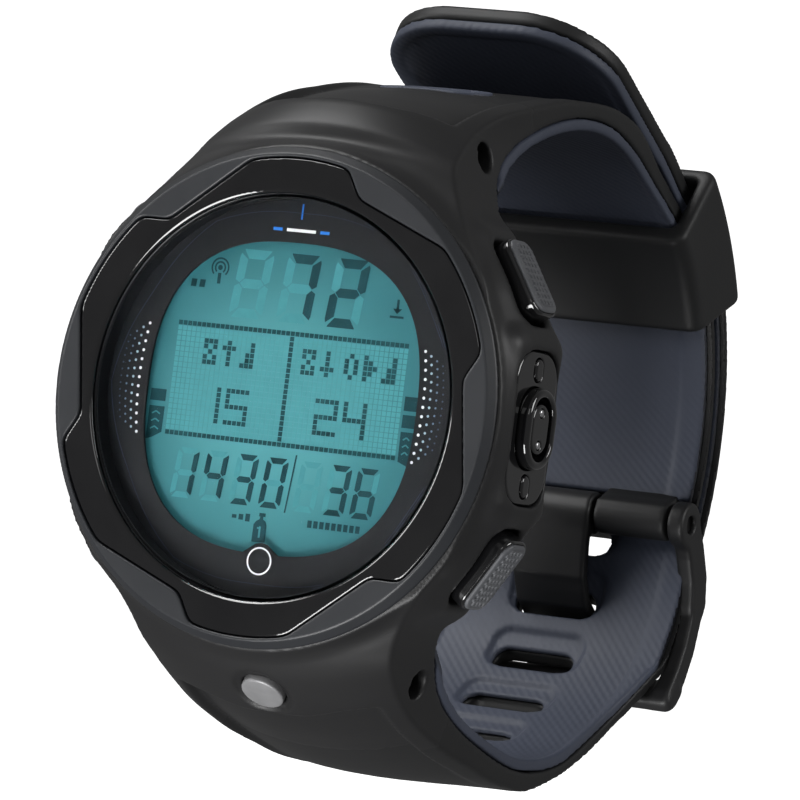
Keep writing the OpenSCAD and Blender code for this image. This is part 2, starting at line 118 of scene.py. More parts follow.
def mottle(tree, shader, first, second, scale):
    """Base colour that drifts between two close colours."""
    mix = ramp(tree, first, second, 0.35, 0.65)
    wire(noise(tree, scale, 6.0, Roughness=0.6), "Fac", mix, "Fac")
    wire(mix, "Color", shader, "Base Color")


def rough_range(tree, shader, scale, low, high, detail=4.0):
    """Roughness that drifts between two values."""
    span = add(tree, "MapRange", To_Min=low, To_Max=high)
    wire(noise(tree, scale, detail), "Fac", span, "Value")
    wire(span, "Result", shader, "Roughness")


def grain(tree, shader, scale, depth, strength):
    """Fine moulded grain as bump."""
    bump = add(tree, "Bump", Strength=strength, Distance=depth)
    wire(noise(tree, scale, 3.0, Roughness=0.65), "Fac", bump, "Height")
    wire(bump, "Normal", shader, "Normal")


def finish(name, first, second, scale, rough, grained=None, **look):
    """A finish between two close colours; rough is one value or (scale, low, high)."""
    drifts = isinstance(rough, tuple)
    m, tree, shader = material(name, first, rough[1] if drifts else rough, **look)
    mottle(tree, shader, first, second, scale)
    if drifts:
        rough_range(tree, shader, *rough)
    if grained:
        grain(tree, shader, *grained)
    return m, tree, shader


def plain_plastic(name, colour, roughness=0.5):
    first, second = (tuple(min(1, c * k) for c in colour) for k in (0.92, 1.08))
    return finish(name, first, second, 300, roughness, (5000, 2e-5, 0.2))[0]


def brushed_metal(name, colour):
    first = tuple(c * 0.85 for c in colour)
    return finish(name, first, colour, 600, (800, 0.25, 0.4), metal=1.0)[0]


def gloss_black():
    m, _, shader = finish("gloss_black", (0.0035, 0.0035, 0.004), (0.0055, 0.0055, 0.006), 120,
                          (400, 0.05, 0.1), specular=0.55, coat=0.6)
    shader.inputs["Coat Roughness"].default_value = 0.04
    return m


def strap_slate():
    """Slate elastomer with fine diagonal ribs, laid out by the strap's own width and length."""
    m, tree, shader = finish("strap_slate", (0.041, 0.048, 0.07), (0.05, 0.058, 0.083), 60,
                             (100, 0.5, 0.62), specular=0.35)
    place = add(tree, "UVMap", uv_map="strap")
    wave = add(tree, "TexWave", wave_type="BANDS", bands_direction="DIAGONAL", Scale=0.62)
    fine = add(tree, "TexWave", wave_type="BANDS", bands_direction="X", Scale=0.42)
    wire(place, "UV", wave, "Vector")
    wire(place, "UV", fine, "Vector")
    both = add(tree, "Math", operation="MULTIPLY_ADD")
    both.inputs[1].default_value = 0.35
    wire(fine, "Fac", both, 0)
    wire(wave, "Fac", both, 2)
    # the ribs fade out on faces that look sideways
    split = add(tree, "SeparateXYZ")
    wire(add(tree, "NewGeometry"), "Normal", split, "Vector")
    sideways = add(tree, "Math", operation="ABSOLUTE")
    wire(split, "X", sideways, 0)
    fade = add(tree, "MapRange", From_Min=0.15, From_Max=0.45, To_Min=0.28, To_Max=0.0)
    wire(sideways, "Value", fade, "Value")
    bump = add(tree, "Bump", Distance=8e-5)
    wire(fade, "Result", bump, "Strength")
    wire(both, "Value", bump, "Height")
    wire(bump, "Normal", shader, "Normal")
    return m


def lens_glass():
    m, tree, shader = material("lens_glass", (1, 1, 1), 0.0)
    shader.inputs["Transmission Weight"].default_value = 1.0
    shader.inputs["IOR"].default_value = 1.1
    rough_range(tree, shader, 300, 0.0, 0.02, detail=2.0)
    return m


def lcd_glass():
    """Teal reflective panel with a painted glow, brighter in the middle, and painted shade, darker
    and bluer to the rim.
    """
    m, tree, shader = material("lcd_teal_painted_glow_and_shade", (0.05, 0.3, 0.33), 0.5, specular=0.3)
    # painted shade: the colour darkens from the middle of the panel out to its rim
    middle = add(tree, "Mapping", Location=(0.001, 0, 0.001))
    wire(add(tree, "TexCoord"), "Object", middle, "Vector")
    flat = add(tree, "VectorMath", operation="MULTIPLY")
    flat.inputs[1].default_value = (1, 0, 1)
    wire(middle, "Vector", flat, 0)
    length = add(tree, "VectorMath", operation="LENGTH")
    wire(flat, "Vector", length, 0)
    span = add(tree, "MapRange", interpolation_type="SMOOTHSTEP",
               From_Min=0.004, From_Max=0.0165)
    wire(length, "Value", span, "Value")
    teal = ramp(tree, (0.057, 0.235, 0.257), (0.02, 0.122, 0.14))
    wire(span, "Result", teal, "Fac")
    wire(teal, "Color", shader, "Base Color")
    # painted glow: the panel gives off light in its own colour, though it is no lamp
    wire(teal, "Color", shader, "Emission Color")
    shader.inputs["Emission Strength"].default_value = PAINTED_GLOW
    return m


def glow(shader, colour, strength):
    shader.inputs["Emission Color"].default_value = (*colour, 1)
    shader.inputs["Emission Strength"].default_value = strength


def lcd_ink(name, colour, strength=0.0):
    second = tuple(c * 1.1 for c in colour)
    m, _, shader = finish(name, colour, second, 900, 0.5, specular=0.2)
    glow(shader, colour, strength)
    return m


def floor_white():
    m, _, shader = finish("floor_white", (0.895,) * 3, (0.905,) * 3, 5, 0.9, specular=0.1)
    glow(shader, (1, 1, 1), 1.0)
    return m


PAINTED_GLOW = 0.2               # painted glow: light the display gives off by itself, though it is no lamp
FINE_GRAIN = (9000, 2e-5, 0.3)
BLACK = finish("satin_black", (0.0095, 0.0095, 0.01), (0.0115, 0.0115, 0.012), 60,
               (90, 0.42, 0.5), (5200, 3e-5, 0.35), specular=0.35)[0]
BEZEL = finish("matte_bezel", (0.0127, 0.014, 0.0166), (0.016, 0.0173, 0.02), 150,
               (200, 0.38, 0.46), FINE_GRAIN, specular=0.42)[0]
GLOSS = gloss_black()
STRAP_BLACK = finish("strap_black", (0.0076, 0.0078, 0.0082), (0.0092, 0.0094, 0.0098), 80,
                     (120, 0.46, 0.56), (4200, 4e-5, 0.35), specular=0.35)[0]
STRAP_SLATE = strap_slate()
PLAIN_SLATE = finish("plain_slate", (0.046, 0.054, 0.078), (0.055, 0.063, 0.09), 90,
                     0.55, FINE_GRAIN, specular=0.35)[0]
PAD_GREY = finish("grey_rubber", (0.068, 0.071, 0.078), (0.085, 0.088, 0.095), 400,
                  0.5, FINE_GRAIN, specular=0.45)[0]
GREY_METAL = finish("grey_metal", (0.2, 0.2, 0.205), (0.24, 0.24, 0.245), 500,
                    0.45, (12000, 1e-5, 0.3), metal=0.3)[0]
STEEL = finish("steel", (0.5, 0.5, 0.51), (0.6, 0.6, 0.61), 700, (900, 0.22, 0.36), metal=1.0)[0]
DARK_STEEL = brushed_metal("dark_steel", (0.03, 0.03, 0.032))
GLASS = lens_glass()
MASK = finish("display_mask", (0.0072, 0.0088, 0.011), (0.009, 0.0108, 0.0133), 900,
              0.5, (9000, 1e-5, 0.2), specular=0.25)[0]
LCD = lcd_glass()
INK = lcd_ink("lcd_ink", (0.004, 0.042, 0.052))
INK_SOFT = lcd_ink("lcd_matrix_ink", (0.006, 0.055, 0.065))
# The unlit strokes and the grid dots carry the same painted glow as the panel
GHOST = lcd_ink("lcd_ghost", (0.042, 0.192, 0.213), PAINTED_GLOW)
FAINT = lcd_ink("lcd_faint", (0.05, 0.217, 0.238), PAINTED_GLOW)
WHITE_DOT = lcd_ink("print_white", (0.85, 0.88, 0.9))
PALE_DOT = lcd_ink("print_pale", (0.35, 0.48, 0.55))
BLUE_DOT = lcd_ink("print_blue", (0.12, 0.18, 0.26))
DIM_DOT = lcd_ink("print_dim", (0.045, 0.068, 0.11))
BLUE_LINE = lcd_ink("print_line", (0.028, 0.042, 0.08))
BLUE_TICK = lcd_ink("print_tick", (0.02, 0.17, 0.6))
SEAL = plain_plastic("seal_rubber", (0.02, 0.02, 0.02), 0.6)
RED_SEAL = plain_plastic("seal_brown", (0.18, 0.05, 0.03))


# ------------ meshes

def new_piece(name, points, faces, m, slot):
    """A flat-shaded piece of the watch from points in millimetres."""
    mesh = bpy.data.meshes.new(name)
    mesh.from_pydata([tuple(p) for p in row(points)], [], faces)
    piece = put(name, mesh)
    mesh.materials.append(m)
    mesh.validate()
    mesh.shade_flat()
    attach(piece, "watch")


class Block:
    """A block of space cut into cubes, on which distances are worked out."""

    def __init__(self, low, high, step):
        self.low = np.array(low, np.float32)
        self.step = step
        axes = [np.arange(a, b + step, step, dtype=np.float32) for a, b in zip(low, high)]
        self.x = axes[0][:, None, None]
        self.y = axes[1][None, :, None]
        self.z = axes[2][None, None, :]
        self.shape = tuple(len(a) for a in axes)


def sample(field, p):
    """Values of a field at points given in cubes, by linear interpolation."""
    p = np.clip(p, 0, np.array(field.shape) - 1.001)
    i = p.astype(int)
    f = p - i
    total = 0
    for step in np.ndindex(2, 2, 2):
        weight = np.prod(np.where(step, f, 1 - f), axis=1)
        total = total + weight * field[tuple((i + step).T)]
    return total


BAND = 4.0               # cubes either side of the surface in which distances are kept
NORMAL_REACH = 0.75      # cubes either side of a point between which its normal is measured


def surface(name, block, field, m, node=None, body="watch", place=None, adaptive=0.0):
    """A piece skinned over the zero level of a distance field, its normals taken from the field."""
    field = np.ascontiguousarray(np.broadcast_to(field, block.shape), np.float32) / block.step
    grid = openvdb.FloatGrid(BAND)
    grid.copyFromArray(np.clip(field, -BAND, BAND))
    points, triangles, quads = grid.convertToPolygons(0.0, adaptive)
    steps = np.eye(3) * NORMAL_REACH
    normals = np.stack([sample(field, points + s) - sample(field, points - s) for s in steps], 1)
    normals /= np.maximum(np.linalg.norm(normals, axis=1, keepdims=True), 1e-6)
    points = points * block.step + block.low
    if place:
        points, normals = place(points, normals)
    mesh = bpy.data.meshes.new(name)
    corners = np.concatenate([triangles.ravel(), quads.ravel()]).astype(np.int32)
    sizes = np.concatenate([np.full(len(triangles), 3), np.full(len(quads), 4)])
    mesh.vertices.add(len(points))
    mesh.vertices.foreach_set("co", row(points).astype(np.float32).ravel())
    mesh.loops.add(len(corners))
    mesh.loops.foreach_set("vertex_index", corners)
    mesh.polygons.add(len(sizes))
    mesh.polygons.foreach_set("loop_start", (np.cumsum(sizes) - sizes).astype(np.int32))
    mesh.update(calc_edges=True)
    mesh.validate()
    mesh.shade_smooth()
    rotated = np.stack([normals[:, 0], -normals[:, 2], normals[:, 1]], 1)
    mesh.normals_split_custom_set_from_vertices([tuple(n) for n in rotated])
    piece = put(name, mesh)
    mesh.materials.append(m)
    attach(piece, body)
    if node:
        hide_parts(node)
    return piece


# ------------ distances

def join(a, b, blend=0.0):
    """Union, with a fillet of about the blend's size."""
    if not blend:
        return np.minimum(a, b)
    return np.minimum(a, b) - np.maximum(blend - np.abs(a - b), 0) ** 2 / (4 * blend)


def meet(a, b, blend=0.0):
    """Intersection, with a rounded edge."""
    return -join(-a, -b, blend)


def cut(a, b, blend=0.0):
    """a without b."""
    return meet(a, -b, blend)


def far(*parts):
    """Length of a vector given by its parts."""
    return np.sqrt(sum(p ** 2 for p in parts))


def corner(parts, r):
    """Distance to where faces meet, from the distance to each, the edges rounded by r."""
    return far(*(np.maximum(p, 0) for p in parts)) + np.minimum(reduce(np.maximum, parts), 0) - r


def rounded_box(u, v, w, half, r):
    """Box round the origin with its edges rounded."""
    return corner([np.abs(p) - h + r for p, h in zip((u, v, w), half)], r)


def oblong(u, v, half_u, half_v, r):
    """Rectangle round the origin with its corners rounded."""
    return corner([np.abs(u) - half_u + r, np.abs(v) - half_v + r], r)


def thick(flat, w, low, high, r=0.0):
    """A flat outline's distance made into a plate between two heights, its edges rounded by r."""
    return corner([flat + r, np.maximum(low - w, w - high) + r], r)


def outline(u, v, points):
    """Signed distance to a closed outline, negative inside."""
    nearest = np.full(np.broadcast(u, v).shape, 1e9, np.float32)
    inside = np.zeros(nearest.shape, bool)
    for (u0, v0), (u1, v1) in zip(points, points[1:] + points[:1]):
        du, dv = u1 - u0, v1 - v0
        t = np.clip(((u - u0) * du + (v - v0) * dv) / (du * du + dv * dv), 0, 1)
        nearest = np.minimum(nearest, (u - u0 - t * du) ** 2 + (v - v0 - t * dv) ** 2)
        crosses = (v0 > v) != (v1 > v)
        if dv:
            inside ^= crosses & (u < (v - v0) * du / dv + u0)
    return np.where(inside, -1, 1) * np.sqrt(nearest)


def path_distance(b, points):
    """Distance in the (y, z) plane to a path."""
    y, z = b.y, b.z
    nearest = 1e9
    for (y0, z0), (y1, z1) in zip(points, points[1:]):
        dy, dz = y1 - y0, z1 - z0
        t = np.clip(((y - y0) * dy + (z - z0) * dz) / (dy * dy + dz * dz), 0, 1)
        nearest = np.minimum(nearest, far(y - y0 - t * dy, z - z0 - t * dz))
    return nearest


def smooth_curve(pairs):
    """A function through (x, y) pairs, smooth and without overshoot."""
    x, y = np.array(pairs, float).T
    h = np.diff(x)
    d = np.diff(y) / h
    same = d[1:] * d[:-1] > 0
    weights = np.where(same, h[1:] * d[1:] + h[:-1] * d[:-1], 1)
    inner = np.where(same, (h[1:] + h[:-1]) * d[1:] * d[:-1] / weights, 0)
    m = np.concatenate([[d[0]], inner, [d[-1]]])

    def value(t):
        t = np.clip(t, x[0], x[-1])
        i = np.clip(np.searchsorted(x, t) - 1, 0, len(h) - 1)
        s = (t - x[i]) / h[i]
        a = (1 + 2 * s) * (1 - s) ** 2 * y[i] + s * s * (3 - 2 * s) * y[i + 1]
        return a + h[i] * (s * (1 - s) ** 2 * m[i] + s * s * (s - 1) * m[i + 1])
    return value


def smoothstep(t, low, high):
    s = np.clip((t - low) / (high - low), 0, 1)
    return s * s * (3 - 2 * s)


# ------------ strap and lug envelopes

def polar(points):
    """(angle, radius) about the loop's centre of (y, z) points, the angle from straight behind."""
    found = [(degrees(atan2(y - LOOP_Y, LOOP_Z - z)),
              hypot(y - LOOP_Y, z - LOOP_Z)) for y, z in points]
    return sorted(found)


def at(r, a):
    """The (y, z) of a radius and angle about the loop's centre."""
    c, s = cos_sin(a)
    return LOOP_Y + r * s, LOOP_Z - r * c


SHORT_R = 27.7           # inner face of the short strap behind the wrist
SOFT_T = 1.25            # slate layer
STRAP_T = 3.0            # both layers
LONG_R = 31.0            # inner face of the long strap on the arc
LAYER_R = 32.25          # where its two layers meet there
HELD = (-15, -8, 0, 10, 20, 40, 62)      # angles at which the long strap's radii are held

# Outer surface along the middle of the 12 o'clock side: strap, shoulder, channel, bezel seam
UPPER_ARC = [(a, SHORT_R + STRAP_T) for a in (-40, 0, 40, 60)]
UPPER_CROWN = smooth_curve(UPPER_ARC + polar([
    (33.4, -45.5), (34.1, -37), (34.0, -30), (33.5, -22), (32.75, -16), (31.7, -11), (30.6, -7.2),
    (29.1, -4.1), (27.1, -2.3), (25.4, -1.9), (24.3, -0.7), (22.0, 0.2)]))
# The same along the crease where it meets the side face
UPPER_EDGE = smooth_curve(UPPER_ARC + polar([
    (33.4, -45.5), (34.1, -35.7), (33.3, -28), (32.1, -22.5), (29.9, -14.4), (28.1, -10.4),
    (25.8, -6.7), (23.7, -4.4), (20.2, -2.4)]))
# Both on the 6 o'clock side
LOWER_ARC = [(-90, 38.1), (-80, 37.45), (-70, 37.05), (-60, 36.85), (-50, 37.0), (-35, 35.7),
             *((a, LONG_R + STRAP_T) for a in (-22, *HELD))]
LOWER_CROWN = smooth_curve(polar([
    (-22, 0.2), (-24.3, -0.7), (-26.2, -2.4), (-28.4, -5.0), (-30.7, -8.3), (-32.6, -12.0),
    (-33.9, -15.8), (-35.1, -20.5), (-36.0, -26), (-36.1, -31)]) + LOWER_ARC)
LOWER_EDGE = smooth_curve(polar([
    (-20.2, -2.0), (-22.6, -3.3), (-24, -4.2), (-26.4, -7.0), (-29.1, -11.6), (-31.7, -18.6),
    (-33.9, -27.7), (-35.2, -34.6)]) + LOWER_ARC)
UPPER_MID = smooth_curve([(-40, 28.95), (45, 28.75), (60, 28.8), (72, 29.15), (84, 29.65),
    (96, 30.0), (107, 30.4), (119, 31.1), (129.5, 32.1), (135.5, 32.6), (143, 32.4)])
LOWER_MID = smooth_curve([(-143, 35.8), (-134, 36.2), (-128, 36.4), (-119.6, 36.1), (-105, 35.6),
    (-91, 36.0), (-78, 36.1), (-65, 35.6), (-53, 35.5), (-45, 35.2), (-35, 34.1),
    *((a, LAYER_R) for a in (-22, *HELD))])
# Half width of the lugs and strap by y: they flare into the drum
HALF_WIDTH = smooth_curve([(-40, 13.0), (-29.1, 13.0), (-26.4, 13.4), (-24, 14.1), (-22.6, 14.6),
    (-20.2, 15.9), (-17, 18.2), (-12, 21.0), (12, 21.0), (17, 18.2), (20.2, 16.2), (23.7, 14.2),
    (25.8, 13.6), (28.1, 13.1), (29.5, 13.0), (47, 13.0)])
NARROWER = 0.95          # how much less it is behind the wrist
SEAM_ANGLE = 121         # where the ears end and the strap begins
SEAM_LAP = 4             # how many degrees each goes on under the other
SEAM_SINK = 0.35         # and how deep
PANEL_HALF = 11.3        # half width of the recessed panels


def loop_place(b):
    """Angle and radius about the loop's centre over a block's y and z."""
    dy = b.y - LOOP_Y
    dz = LOOP_Z - b.z
    return np.degrees(np.arctan2(dy, dz)), far(dy, dz)


def turned(b, angle):
    """Distance along the strap and outwards from the loop's centre, seen at an angle round it."""
    c, s = cos_sin(angle)
    dy, dz = b.y - LOOP_Y, b.z - LOOP_Z
    return dy * c + dz * s, dy * s - dz * c


def sides(b):
    """How far a point is outside the side faces of the lugs and strap."""
    angle = loop_place(b)[0]
    narrower = NARROWER * (1 - smoothstep(np.abs(angle), 50, 118))
    return np.abs(b.x) - (HALF_WIDTH(b.y) - narrower).astype(np.float32)


def envelope(b, upper):
    """How far a point is outside the outer skin shared by the lugs and the strap."""
    crown, edge = (UPPER_CROWN, UPPER_EDGE) if upper else (LOWER_CROWN, LOWER_EDGE)
    angle, radius = loop_place(b)
    middle = crown(angle).astype(np.float32)
    side = edge(angle).astype(np.float32)
    slope = (crown(angle + 0.5) - crown(angle - 0.5)) / np.radians(1.0) / radius
    share = np.minimum(np.abs(b.x) / HALF_WIDTH(b.y), 1.1) ** 2.2
    skin = (radius - middle - (side - middle) * share) / np.sqrt(1 + slope ** 2)
    return (skin + panel(b, angle, upper)).astype(np.float32)


def panel(b, angle, upper):
    """Depth of the recessed panel between the side rails, from the hood's wavy edge backwards."""
    across = np.abs(b.x)
    if upper:
        along = 140.8 - 1.4 * smoothstep(across, 4, 9.8) - angle
        depth = 1.35 * np.clip((angle - 96) / 44, 0, 1)
    else:
        along = angle + 133.2 + 1.2 * smoothstep(across, 3, 8.6)
        depth = 1.1 * (1 - smoothstep(angle, -124, -90))
    inside = np.minimum(along * 0.62, PANEL_HALF - across)
    return depth * smoothstep(inside, 0, 0.95)


def mid(angle, upper):
    """Radius at which the slate layer meets the black one."""
    return (UPPER_MID if upper else LOWER_MID)(angle).astype(np.float32)


def black_shell(b, upper, lug):
    """The lug or the strap under the outer skin: each dives under the other past the seam."""
    angle, radius = loop_place(b)
    past = np.abs(angle) - SEAM_ANGLE
    past = -past if lug else past
    sink = SEAM_SINK * smoothstep(past, 0, SEAM_LAP)
    body = meet(envelope(b, upper) + sink, sides(b) + sink, 0.25 if lug else 0.35)
    return meet(meet(body, mid(angle, upper) + 0.02 - radius, 0.3), past - SEAM_LAP)


# ------------ case

DRUM = [(0, -17), (19.9, -17), (21.2, -16.2), (22.9, -13.4), (24.1, -10.5), (24.5, -6.5),
        (24.55, -1.4), (24.4, -0.05), (0, -0.05)]
# Round bores down the case's axis: radius, from, to, and the rounding of their edge
BORES = [(19.45, -1.9, 5.0, 0.0), (18.4, -11.7, 5.0, 0.0), (12.6, -30.0, -12.3, 0.0),
         (18.3, -30.0, -15.2, 0.2)]
PORT_Z = -7.2
PORT_SEAT, PORT_FACE = 23.1, 24.35
BUTTON_ANGLE = 33.0
BUTTON_Z = -7.5
BUTTONS = {"upper_right": BUTTON_ANGLE, "lower_right": -BUTTON_ANGLE,
           "upper_left": 180 - BUTTON_ANGLE, "lower_left": 180 + BUTTON_ANGLE}
PIN_Y, PIN_Z = 25.7, -11.3               # strap pins, at 12 and at 6 o'clock
CONTACT_Y, CONTACT_Z, CONTACT_TILT = -28.5, -5.1, 55.0


def proud(angle):
    """The left buttons stand a little further out."""
    return 0.5 if 90 < angle < 270 else 0.0


def from_button(b, angle):
    """Outward, along the rim and up, as seen from a button."""
    c, s = cos_sin(angle)
    return b.x * c + b.y * s - proud(angle), -b.x * s + b.y * c, b.z - BUTTON_Z


def from_contact(b):
    """Height above the water contact's seat, and distance from its axis."""
    c, s = cos_sin(CONTACT_TILT)
    dy, dz = b.y - CONTACT_Y, b.z - CONTACT_Z
    return dz * c - dy * s, far(b.x, dy * c + dz * s)


def lug_field(b, upper):
    """One hooded lug with its two ears."""
    s = 1 if upper else -1
    angle = loop_place(b)[0]
    lug = meet(black_shell(b, upper, True), -angle * s)
    return meet(lug, 8 - b.y * s)


def case_field(b):
    r = far(b.x, b.y)
    body = outline(r, b.z, DRUM)
    for upper in (True, False):
        body = join(body, lug_field(b, upper), 1.2)
    for angle in BUTTONS.values():
        out, along, up = from_button(b, angle)
        body = join(body, rounded_box(out - 22.2, along, up, (2.95, 7.2, 4.6), 2.3), 2.2)
    body = join(body, rounded_box(b.x - 21.2, b.y, b.z - PORT_Z, (3.1, 8.6, 5.2), 1.2), 1.6)
    body = meet(body, b.z)
    body = cut(body, meet(24.28 - r, np.abs(b.z + 0.05) - 0.1))      # step under the bezel's edge
    for angle in BUTTONS.values():
        out, along, up = from_button(b, angle)
        body = cut(body, thick(oblong(along, up, 4.5, 2.85, 1.7), out, 23.0, 40.0), 0.7)
    port_pocket = thick(oblong(b.y, b.z - PORT_Z, 7.5, 4.4, 3.2), b.x, PORT_SEAT, 40.0)
    body = cut(body, port_pocket, 0.15)
    for radius, low, high, blend in BORES:
        body = cut(body, thick(r - radius, b.z, low, high), blend)
    for s in (1, -1):
        hole = far(b.y - s * PIN_Y, b.z - PIN_Z) - 1.45
        body = cut(body, meet(hole, 11.6 - np.abs(b.x)), 0.15)
    up, flat = from_contact(b)
    body = cut(body, thick(flat - 2.75, up, -0.35, 5.0), 0.8)
    return cut(body, thick(flat - 2.3, up, -1.3, 5.0))


def make_case():
    b = Block((-27, -37.5, -23), (28, 36, 1), 0.3)
    surface("case_shell", b, case_field(b), BLACK, "case_body")


# ------------ straps

STRAP_CUBE = 0.32
UV_RADIUS = 32
TAIL_ANGLE = 62          # where the long strap leaves the arc and goes on straight
TAIL_HALF = 12.1
STRAP_END = -13.6        # where the short strap ends at the buckle
BUCKLE_PIN = (-6.5, -64.5)
PIN_BORE = 0.95
SLOT_AT_TANG = -34.4     # angle of the slot that holds the tang
SLOT_STEP = 12.2         # and from each slot to the next
FIELD_SUNK = 0.22        # how much lower the slate's field is than its border


def with_uv(piece):
    """Adds a map of the strap's own width and length, in millimetres."""
    mesh = piece.data
    co = np.zeros(len(mesh.vertices) * 3, np.float32)
    mesh.vertices.foreach_get("co", co)
    co = co.reshape(-1, 3) * 1000
    y, z = co[:, 2], -co[:, 1] - LOOP_DEPTH
    length = np.arctan2(y - LOOP_Y, LOOP_Z - z) * UV_RADIUS
    index = np.zeros(len(mesh.loops), np.int32)
    mesh.loops.foreach_get("vertex_index", index)
    layer = mesh.uv_layers.new(name="strap")
    uv = np.stack([co[index, 0], length[index]], 1)
    layer.data.foreach_set("uv", uv.astype(np.float32).ravel())


def slots(b, body, recess):
    """Buckle slots along the long strap, each in a shallow rounded recess on the slate side."""
    angle, radius = loop_place(b)
    depth = radius - (mid(angle, False) - SOFT_T)
    for i in range(-3, 6):
        a = SLOT_AT_TANG + SLOT_STEP * i
        along, out = turned(b, a)
        inner = float(LOWER_MID(a)) - SOFT_T
        if recess:
            dish = meet(oblong(b.x, along - 1.1, 5.3, 2.4, 1.6), 20 - out)
            body = cut(body, meet(dish, depth - 0.62, 0.4), 0.5)
        hole = oblong(b.x, along, 4.6, 1.5, 1.45)
        body = cut(body, thick(hole, out, inner - 6, inner + 6), 0.2)
    return body


def slate_band(b, upper, first, last):
    """Slate layer along the arc, with a raised border and a slightly sunk field between."""
    angle, radius = loop_place(b)
    middle = mid(angle, upper)
    sunk = FIELD_SUNK * smoothstep(11.9 - np.abs(b.x), 0, 0.6)
    band = meet(radius - middle + 0.02, sides(b) + 0.02, 0.3)
    band = meet(band, middle - SOFT_T + sunk - radius, 0.45)
    return meet(band, np.maximum(first - angle, angle - last), 0.2)


def tail_plate(b, outer):
    """The straight end of the long strap with its round tip, which widens to one side."""
    along, out = turned(b, TAIL_ANGLE)
    grow = 0.9 * smoothstep(along, 0, 12)
    tip = oblong(b.x + grow, along - 2, TAIL_HALF + grow, 20.0, 9.0)
    if outer:
        plate = thick(tip, out, LAYER_R, LONG_R + STRAP_T, 0.45)
    else:
        sunk = FIELD_SUNK * smoothstep(-tip, 1.1, 1.7)
        plate = meet(meet(tip, LONG_R + sunk - out, 0.45), out - (LAYER_R - 0.02))
    return np.where(along > -0.2, plate, 50)


def clear_of_case(b, body):
    """Keeps a strap layer off the drum, its shoulders and the button swellings."""
    return cut(body, meet(far(b.x, b.y) - 25.1, -17.1 - b.z))


def make_strap(name, node, m, b, field):
    with_uv(surface(name, b, field, m, node, adaptive=0.01))


def make_long_strap():
    b = Block((-14.6, -38, -74), (13.8, 46, -8), STRAP_CUBE)
    angle = loop_place(b)[0]
    black = meet(black_shell(b, False, False), angle - TAIL_ANGLE)
    black = slots(b, join(black, tail_plate(b, True)), False)
    make_strap("long_strap_black", "strap_long_outer", STRAP_BLACK, b, black)
    slate = join(slate_band(b, False, -141, TAIL_ANGLE), tail_plate(b, False))
    slate = clear_of_case(b, slots(b, slate, True))
    make_strap("long_strap_slate", "strap_long_inner", STRAP_SLATE, b, slate)


def from_buckle_pin(b):
    return far(b.y - BUCKLE_PIN[0], b.z - BUCKLE_PIN[1])


def make_short_strap():
    b = Block((-13.8, -14, -70), (13.8, 38, -8), STRAP_CUBE)
    angle = loop_place(b)[0]
    black = meet(black_shell(b, True, False), STRAP_END - angle)
    # the two ends curl round the buckle's pin, either side of the tang
    pin = from_buckle_pin(b)
    web = outline(b.y, b.z, [at(28.95, -10.5), at(30.7, -10.5), at(29.8, -17), BUCKLE_PIN,
                             at(25.9, -17)])
    ends = np.maximum(np.abs(b.x) - 12.9, 4.6 - np.abs(b.x))
    curl = meet(join(pin - 2.0, web, 0.6), ends, 0.3)
    black = cut(join(black, curl, 0.4), pin - PIN_BORE)
    black = cut(black, inlay_oval(b, 0.1, -0.75, 4.0))
    make_strap("short_strap_black", "strap_short_outer", STRAP_BLACK, b, black)
    slate = clear_of_case(b, slate_band(b, True, STRAP_END, 141))
    make_strap("short_strap_slate", "strap_short_inner", STRAP_SLATE, b, slate)


def inlay_oval(b, grow, low, high, rounding=0.0):
    """The oval let into the short strap: a band of depths under the skin, grown by a margin."""
    along = (b.z + 25.0) + (b.y - 33.5) * 0.06
    flat = oblong(b.x, along, 5.95 + grow, 3.15 + grow, 3.1 + grow)
    return thick(flat, envelope(b, True), low, high, rounding)


def make_inlay():
    b = Block((-7, 31, -30), (7, 36, -20), 0.12)
    badge = inlay_oval(b, 0.0, -0.7, 0.15, 0.12)
    groove = meet(inlay_oval(b, -1.5, -0.02, 1.0), -inlay_oval(b, -2.1, -2.0, 2.0))
    surface("inlay_badge", b, cut(badge, groove, 0.1), PLAIN_SLATE, "strap_inlay")


# ------------ bezel

TEETH = 6
TRIM_BOTTOM = 0.35


def sawtooth(inner, outer, steps=12):
    """The gloss ring's outer edge: six runs of arc, chord inwards and short step out."""
    points = []
    for k in range(TEETH):
        start = 360 / TEETH * k
        turns = [radians(start + 16 + 27 * i / steps) for i in range(steps + 1)]
        points += [(outer * cos(a), outer * sin(a)) for a in turns]
        a = radians(start + 70)
        points.append((inner * cos(a), inner * sin(a)))
    return points


def soften(field, reach):
    """Rounds the corners of a flat outline's distances."""
    for axis in (0, 1):
        for _ in range(2):
            rolled = (np.roll(field, k, axis) for k in range(-reach, reach + 1))
            field = sum(rolled) / (2 * reach + 1)
    return field


def make_bezel():
    b = Block((-25.5, -25.5, -0.6), (25.5, 25.5, 2.0), 0.16)
    r = far(b.x, b.y)
    profile = outline(r, b.z, [(19.6, 0.02), (24.2, 0.02), (24.28, 0.3), (23.5, 1.22),
                               (19.6, 1.22)])
    saw = soften(outline(b.x, b.y, sawtooth(20.95, 23.15)), 3) * np.ones_like(b.z)
    ring = cut(profile, meet(saw - 0.06, TRIM_BOTTOM - b.z), 0.12)
    surface("bezel_matte", b, ring, BEZEL, "bezel_ring")
    trim = meet(saw + 0.06, b.z - 1.12 + np.maximum(20.0 - r, 0) * 0.5, 0.16)
    trim = meet(trim, TRIM_BOTTOM + 0.01 - b.z)
    trim = meet(trim, 19.68 - r, 0.25)
    surface("bezel_gloss", b, trim, GLOSS, "bezel_trim")


# ------------ gasket, buttons and port

def make_gasket():
    b = Block((-19.8, -19.8, -2.1), (19.8, 19.8, -1.4), 0.12)
    ring = thick(np.abs(far(b.x, b.y) - 18.8) - 0.5, b.z, -1.9, -1.6, 0.1)
    surface("gasket_ring", b, ring, SEAL, "lens_gasket")


